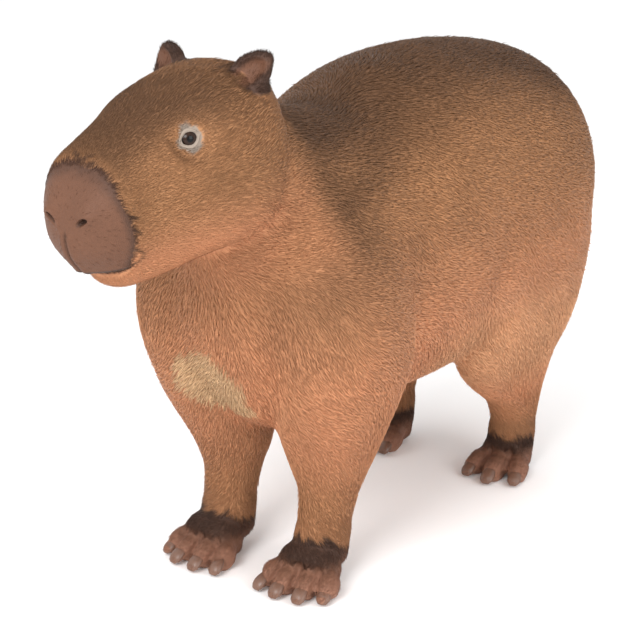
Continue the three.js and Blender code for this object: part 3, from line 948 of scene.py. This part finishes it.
# Materials
class Nodes:
    """Short ways to add and join the nodes of one material."""

    def __init__(self, name):
        self.material = bpy.data.materials.new(name)
        self.material.use_nodes = True
        self.tree = self.material.node_tree
        self.shader = self.tree.nodes["Principled BSDF"]

    def add(self, kind, inputs=None, **settings):
        node = self.tree.nodes.new(kind)
        for key, value in settings.items():
            setattr(node, key, value)
        for key, value in (inputs or {}).items():
            self.put(node.inputs[key], value)
        return node

    def put(self, socket, value):
        if isinstance(value, bpy.types.NodeSocket):
            self.tree.links.new(value, socket)
        else:
            socket.default_value = value

    def math(self, operation, a, b=0.0, clamp=False):
        node = self.add("ShaderNodeMath", {0: a, 1: b}, operation=operation)
        node.use_clamp = clamp
        return node.outputs[0]

    def ramp(self, value, low, high, to_low=0.0, to_high=1.0):
        node = self.add("ShaderNodeMapRange", {"Value": value, "From Min": low, "From Max": high})
        node.inputs["To Min"].default_value = to_low
        node.inputs["To Max"].default_value = to_high
        return node.outputs[0]

    def mix(self, a, b, share, blend="MIX"):
        node = self.add("ShaderNodeMix", data_type="RGBA", blend_type=blend)
        self.put(node.inputs["Factor"], share)
        for socket in node.inputs:
            if socket.type == "RGBA":
                self.put(socket, a if socket.name == "A" else b)
        return next(o for o in node.outputs if o.type == "RGBA")

    def noise(self, scale, detail=2.0, stretch=None, where=None):
        place = where or self.add("ShaderNodeTexCoord").outputs["Object"]
        if stretch is not None:
            place = self.add("ShaderNodeMapping", {"Vector": place, "Scale": stretch}).outputs[0]
        node = self.add("ShaderNodeTexNoise", {"Vector": place, "Scale": scale, "Detail": detail})
        return node.outputs["Fac"]

    def channels(self, attribute):
        node = self.add("ShaderNodeAttribute", attribute_name=attribute)
        split = self.add("ShaderNodeSeparateColor", {"Color": node.outputs["Color"]})
        return [*split.outputs, node.outputs["Alpha"]]


def srgb(red, green, blue):
    """A colour given as it looks on a screen, as the amounts of light that a shader needs."""
    return tuple(
        c / 255 / 12.92 if c / 255 <= 0.04045 else ((c / 255 + 0.055) / 1.055) ** 2.4
        for c in (red, green, blue)
    ) + (1.0,)


TAN = srgb(168, 120, 82)
# The warm underside colour, lightened as painted light from below
UNDER_AND_LIGHT = srgb(216, 150, 110)
# The dark brown of the back, which also paints shade
BACK_AND_SHADE = srgb(98, 69, 48)
FOOT = srgb(68, 47, 37)
BARE = srgb(99, 66, 49)
TOE = srgb(146, 104, 84)
CREAM = srgb(212, 173, 132)
# The pale rim of the lids round the eyes, a painted highlight
LID_HIGHLIGHT = srgb(143, 129, 117)


def marked_colour(nodes, pick, along):
    """The animal's colours, with painted light and shade, from the marks of each place and the chance of each
    tuft.
    """
    dark, pale, warm, back = nodes.channels("marks")
    # The warm underside, with painted light from below
    colour = nodes.mix(TAN, UNDER_AND_LIGHT, warm)
    # The brown back, with painted shade
    colour = nodes.mix(colour, BACK_AND_SHADE, back)
    # Pale hair, and the painted highlight round the eyes
    colour = nodes.mix(colour, nodes.mix(LID_HIGHLIGHT, CREAM, warm), pale)
    bare = nodes.mix(nodes.mix(FOOT, BARE, warm), TOE, pale)
    colour = nodes.mix(colour, bare, dark)
    lively = nodes.ramp(pick, 0, 1, 0.88, 1.12)
    tone = nodes.math("MULTIPLY", lively, nodes.ramp(along, 0, 1, 0.88, 1.10))
    patches = nodes.ramp(nodes.noise(14, 3), 0.3, 0.7, 0.92, 1.08)
    tone = nodes.math("MULTIPLY", tone, patches)
    grey = nodes.add("ShaderNodeCombineColor", {"Red": tone, "Green": tone, "Blue": tone}).outputs[0]
    return nodes.mix(colour, grey, 1.0, "MULTIPLY")


def skin_material():
    nodes = Nodes("skin")
    dark = nodes.channels("marks")[0]
    streak = nodes.noise(1, 3, (420, 60, 420))
    colour = marked_colour(nodes, streak, nodes.noise(300, 2))
    nodes.put(nodes.shader.inputs["Base Color"], colour)
    nodes.put(nodes.shader.inputs["Roughness"], nodes.ramp(dark, 0, 1, 0.75, 0.56))
    place = nodes.add("ShaderNodeTexCoord").outputs["Object"]
    cells = nodes.add("ShaderNodeTexVoronoi", {"Vector": place, "Scale": 620.0}).outputs["Distance"]
    height = nodes.math("ADD", nodes.math("MULTIPLY", cells, dark), nodes.math("MULTIPLY", streak, 0.8))
    bumpy = nodes.add("ShaderNodeBump", {"Height": height, "Strength": 0.55, "Distance": 0.0008})
    nodes.put(nodes.shader.inputs["Normal"], bumpy.outputs[0])
    nodes.shader.inputs["Specular IOR Level"].default_value = 0.22
    return nodes.material


def coat_material():
    nodes = Nodes("coat")
    along, pick, other, _ = nodes.channels("hair")
    nodes.put(nodes.shader.inputs["Base Color"], marked_colour(nodes, pick, along))
    nodes.put(nodes.shader.inputs["Roughness"], nodes.ramp(other, 0, 1, 0.48, 0.72))
    nodes.shader.inputs["Specular IOR Level"].default_value = 0.22
    return nodes.material


def eye_material():
    nodes = Nodes("eye")
    polar, around, _, _ = nodes.channels("hair")
    across_rays = nodes.math("MULTIPLY", around, 40)
    along_rays = nodes.math("MULTIPLY", polar, 6)
    where = nodes.add("ShaderNodeCombineXYZ", {"X": across_rays, "Y": along_rays}).outputs[0]
    rays = nodes.noise(1, 3, None, where)
    iris = nodes.mix(srgb(24, 14, 10), srgb(52, 31, 19), rays)
    white = nodes.mix(srgb(196, 186, 176), srgb(140, 118, 106), nodes.noise(260, 3))
    colour = nodes.mix(srgb(4, 3, 3), iris, nodes.ramp(polar, 0.26, 0.30))
    colour = nodes.mix(colour, srgb(12, 8, 6), nodes.ramp(polar, 0.56, 0.64))
    colour = nodes.mix(colour, white, nodes.ramp(polar, 0.70, 0.78))
    nodes.put(nodes.shader.inputs["Base Color"], colour)
    nodes.shader.inputs["Roughness"].default_value = 0.25
    nodes.shader.inputs["Specular IOR Level"].default_value = 0.10
    nodes.shader.inputs["Coat Weight"].default_value = 0.40
    nodes.shader.inputs["Coat IOR"].default_value = 1.36
    nodes.shader.inputs["Coat Roughness"].default_value = 0.02
    return nodes.material


def nail_material():
    nodes = Nodes("nail")
    along, _, _, _ = nodes.channels("hair")
    lines = nodes.noise(1, 3, (900, 120, 500))
    colour = nodes.mix(srgb(92, 65, 52), srgb(132, 98, 80), nodes.math("MULTIPLY", lines, along))
    nodes.put(nodes.shader.inputs["Base Color"], colour)
    nodes.put(nodes.shader.inputs["Roughness"], nodes.ramp(lines, 0.3, 0.7, 0.30, 0.46))
    bumpy = nodes.add("ShaderNodeBump", {"Height": lines, "Strength": 0.4, "Distance": 0.0004})
    nodes.put(nodes.shader.inputs["Normal"], bumpy.outputs[0])
    return nodes.material


# Eyes
def eyeball(side, material):
    """A ball with a cornea that stands out over the iris. Its rings run round the gaze."""
    gaze, along, across = eye_axes(side)
    rings, around = EYE_RINGS, EYE_SPOKES
    turns = np.linspace(0, math.pi, rings + 1)[1:-1]
    spin = np.arange(around) / around * 2 * math.pi
    radius = EYE_RADIUS + CORNEA_RISE * np.clip(1 - (turns / 0.66) ** 2, 0, 1)
    ring = np.cos(spin)[:, None] * along + np.sin(spin)[:, None] * across
    points = np.cos(turns)[:, None, None] * gaze + np.sin(turns)[:, None, None] * ring
    points = (points * radius[:, None, None]).reshape(-1, 3)
    points = np.vstack([points, gaze * (EYE_RADIUS + CORNEA_RISE), -gaze * EYE_RADIUS])
    k = np.arange(around)
    faces = []
    for row in range(rings - 2):
        a, b = row * around + k, row * around + (k + 1) % around
        faces += [np.stack([a, a + around, b], -1), np.stack([b, a + around, b + around], -1)]
    first, last = len(points) - 2, len(points) - 1
    low = (rings - 2) * around
    faces += [np.stack([np.full(around, first), k, (k + 1) % around], -1)]
    faces += [np.stack([low + k, np.full(around, last), low + (k + 1) % around], -1)]
    faces = np.vstack(faces)
    world = from_head(points + on_side(side, EYE_IN_HEAD))
    outward = faces[:, ::-1] if side > 0 else faces
    mesh = mesh_of("eyeball", world, outward)
    marks = np.zeros((len(points), 4))
    marks[:, 0] = np.concatenate([np.repeat(turns, around), [0, math.pi]])
    marks[:, 1] = np.concatenate([np.tile(np.abs(spin / math.pi - 1), rings - 1), [0, 0]])
    set_marks(mesh, "hair", marks)
    mesh.materials.append(material)
    name = "left" if side > 0 else "right"
    obj = new_object("eyeball_" + name, mesh)
    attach(obj, "root")
    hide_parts("eye_" + name)
    return obj


# Nails
def nails(side, pair, place, toes, material):
    """The blunt hoof-like nails of one foot, each a closed shape of rings along the toe."""
    rings = np.array([
        # along the toe, height, half width and half thickness, as shares of the toe's thickness
        [-0.58, 1.34, 0.20, 0.10],
        [-0.48, 1.28, 0.42, 0.20],
        [-0.15, 1.06, 0.60, 0.30],
        [0.28, 0.82, 0.66, 0.36],
        [0.60, 0.60, 0.58, 0.36],
        [0.80, 0.42, 0.40, 0.28],
        [0.86, 0.36, 0.18, 0.14],
    ])
    around = NAIL_SPOKES
    spin = np.arange(around) / around * 2 * math.pi
    shape = np.stack([np.sign(np.cos(spin)) * np.abs(np.cos(spin)) ** 0.75,
                      np.sin(spin) * np.where(np.sin(spin) < 0, 0.65, 1.0)], -1)
    c, s = math.cos(FOOT_TURN), math.sin(FOOT_TURN)
    points, faces, marks = [], [], []
    for spread, splay, reach, thick in toes:
        turn = math.radians(splay)
        start = len(points)
        tip = np.array([spread + reach * math.tan(turn), -reach])
        ahead = unit(np.array([math.tan(turn), -1.0]))
        beside = np.array([-ahead[1], ahead[0]])
        for row, (along, height, wide, deep) in enumerate(rings):
            flat = tip + ahead * along * thick
            for u, v in shape:
                across = flat + beside * u * wide * thick
                z = height * thick + v * deep * thick - 0.25 * thick * (u * wide) ** 2
                turned = [across[0] * c - across[1] * s, across[0] * s + across[1] * c]
                points.append([side * (turned[0] + place[0]), turned[1] + place[1] + POLL[1], max(z, 0.0006)])
                marks.append([row / (len(rings) - 1), 0.5, 0.5, 1])
        for row in range(len(rings) - 1):
            for k in range(around):
                a, b = start + row * around + k, start + row * around + (k + 1) % around
                faces += [[a, b, b + around], [a, b + around, a + around]]
        for row, flip in ((0, True), (len(rings) - 1, False)):
            hub = len(points)
            ring_start = start + row * around
            points.append(list(np.mean(points[ring_start : ring_start + around], 0)))
            marks.append([row / (len(rings) - 1), 0.5, 0.5, 1])
            for k in range(around):
                a, b = ring_start + k, ring_start + (k + 1) % around
                faces.append([hub, b, a] if flip else [hub, a, b])
    faces = np.array(faces)
    mesh = mesh_of("nails", np.array(points), faces if side > 0 else faces[:, ::-1])
    set_marks(mesh, "hair", np.array(marks))
    mesh.materials.append(material)
    obj = new_object(f"nails_{pair}_{'left' if side > 0 else 'right'}", mesh)
    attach(obj, "root")
    return obj


full_skin = detailed_skin()
surface = Surface(full_skin)
coat = grown_coat(surface)
skin_mesh = thinned(full_skin)
set_marks(skin_mesh, "marks", marks_of(points_of(skin_mesh), normals_of(skin_mesh)))
print("skin", len(surface.triangles), "to", len(triangles_of(skin_mesh)), "triangles")
skin_mesh.polygons.foreach_set("use_smooth", np.ones(len(skin_mesh.polygons), bool))
skin = new_object("skin", skin_mesh)
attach(skin, "root")
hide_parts(*FLESH)
skin.data.materials.append(skin_material())
fur = coat_material()
for piece in coat:
    piece.data.materials.append(fur)
wet = eye_material()
horn = nail_material()
for side in SIDES:
    eyeball(side, wet)
    nails(side, "front", FRONT_FOOT, FRONT_TOES, horn)
    nails(side, "hind", HIND_FOOT, HIND_TOES, horn)

# Floor, light and camera
corners = [[x * FLOOR_HALF, y * FLOOR_HALF, 0] for x, y in ((-1, -1), (1, -1), (1, 1), (-1, 1))]
floor = new_object("floor", mesh_of("floor", np.array(corners, float), np.array([[0, 1, 2, 3]])))
paper = Nodes("paper")
grain = paper.ramp(paper.noise(3, 2), 0.3, 0.7, 0.965, 0.975)
paper.put(paper.shader.inputs["Base Color"],
          paper.add("ShaderNodeCombineColor", {"Red": grain, "Green": grain, "Blue": grain}).outputs[0])
paper.shader.inputs["Roughness"].default_value = 0.9
floor.data.materials.append(paper.material)

world = bpy.data.worlds.new("studio")
bpy.context.scene.world = world
world.use_nodes = True
world.node_tree.nodes["Background"].inputs["Color"].default_value = (1, 1, 1, 1)
world.node_tree.nodes["Background"].inputs["Strength"].default_value = WORLD_STRENGTH


def area_light(name, place, towards, size, power, colour=(1, 1, 1)):
    light = bpy.data.lights.new(name, "AREA")
    light.energy = power
    light.size = size
    light.color = colour
    obj = bpy.data.objects.new(name, light)
    obj.location = place
    obj.rotation_euler = (Vector(towards) - Vector(place)).to_track_quat("-Z", "Y").to_euler()
    bpy.context.scene.collection.objects.link(obj)


area_light("key", (0.3, -2.4, 2.0), (0, 0, 0.3), 1.4, 60)
area_light("fill", (2.4, -0.6, 1.2), (0, 0, 0.3), 1.6, 25)


def camera_back(azimuth, elevation):
    a, e = math.radians(azimuth), math.radians(elevation)
    return Vector((math.sin(a) * math.cos(e), -math.cos(a) * math.cos(e), math.sin(e)))


camera = bpy.data.cameras.new("camera")
camera.sensor_width = 36
camera.lens = FOCAL_PIXELS / PHOTO_PIXELS * camera.sensor_width
camera_object = bpy.data.objects.new("camera", camera)
back = camera_back(CAMERA_AZIMUTH, CAMERA_ELEVATION)
camera_object.location = Vector(CAMERA_TARGET) + back * CAMERA_DISTANCE
camera_object.rotation_euler = back.to_track_quat("Z", "Y").to_euler()
bpy.context.scene.collection.objects.link(camera_object)
bpy.context.scene.camera = camera_object
bpy.context.scene.view_settings.view_transform = "Standard"
